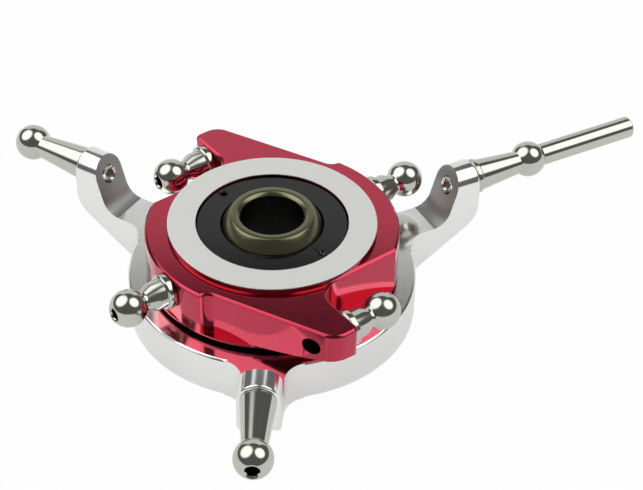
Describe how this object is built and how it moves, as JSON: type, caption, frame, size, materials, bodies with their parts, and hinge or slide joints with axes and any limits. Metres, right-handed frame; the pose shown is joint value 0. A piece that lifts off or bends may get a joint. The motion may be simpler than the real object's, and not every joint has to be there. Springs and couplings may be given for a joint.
{
  "type": "helicopter swashplate",
  "caption": "Tilting swashplate for a model helicopter: still ring with arms, winged turning ring on a ball bearing, linkage balls, guide pin and mast ball.",
  "frame": {"origin": "centre of the mast ball, on the plane of the linkage balls", "axes": "+Z along the mast towards the rotor head; +Y along the guide pin"},
  "size_m": [0.0716, 0.0791, 0.0149],
  "materials": {
    "polished_aluminium": "bright polished",
    "satin_aluminium": "satin, turned",
    "red_anodised": "polished, red anodised",
    "black_anodised": "satin, black anodised",
    "olive_anodised": "smooth, dark hard anodised",
    "polished_steel": "mirror polished steel",
    "bearing_steel": "ground",
    "dark_spring_steel": "black oxide",
    "cage_polymer": "moulded",
    "black_polymer": "moulded, slippery",
    "seal_rubber": "moulded"
  },
  "bodies": {
    "still_ring": {"lower_ring": "polished_aluminium", "servo_ball_1": "polished_steel", "servo_ball_2": "polished_steel", "guide_pin": "polished_steel", "bearing_outer_race": "bearing_steel", "bearing_shield_upper": "seal_rubber", "bearing_shield_lower": "seal_rubber", "bearing_circlip": "dark_spring_steel"},
    "turning_ring": {"upper_ring": "red_anodised", "face_ring": "satin_aluminium", "ball_retainer": "black_anodised", "ring_ball_1": "polished_steel", "ring_ball_2": "polished_steel", "ring_ball_3": "polished_steel", "ring_ball_4": "polished_steel", "bearing_inner_race": "bearing_steel", "clamp_nut": "black_anodised"},
    "ball_cage": {"bearing_cage": "cage_polymer", "bearing_balls": "bearing_steel"},
    "lower_socket": {"ball_seat": "black_polymer"},
    "mast_ball": {"centre_ball": "olive_anodised"}
  },
  "joints": [
    {"name": "upper_ring_spin", "type": "hinge", "parent": "still_ring", "child": "turning_ring", "pos_m": [0, 0, 0], "axis": [0, 0, 1], "continuous": true},
    {"name": "bearing_cage_spin", "type": "hinge", "parent": "still_ring", "child": "ball_cage", "pos_m": [0, 0, -0.0071], "axis": [0, 0, 1], "continuous": true},
    {"name": "socket_turn", "type": "hinge", "parent": "turning_ring", "child": "lower_socket", "pos_m": [0, 0, 0], "axis": [0, 0, 1], "continuous": true},
    {"name": "ball_tilt", "type": "hinge", "parent": "lower_socket", "child": "mast_ball", "pos_m": [0, 0, 0], "axis": [1, 0, 0], "range_deg": [-10, 10]}
  ],
  "couplings": [
    {"joint": "bearing_cage_spin", "follows": "upper_ring_spin", "ratio": 0.46491}
  ]
}
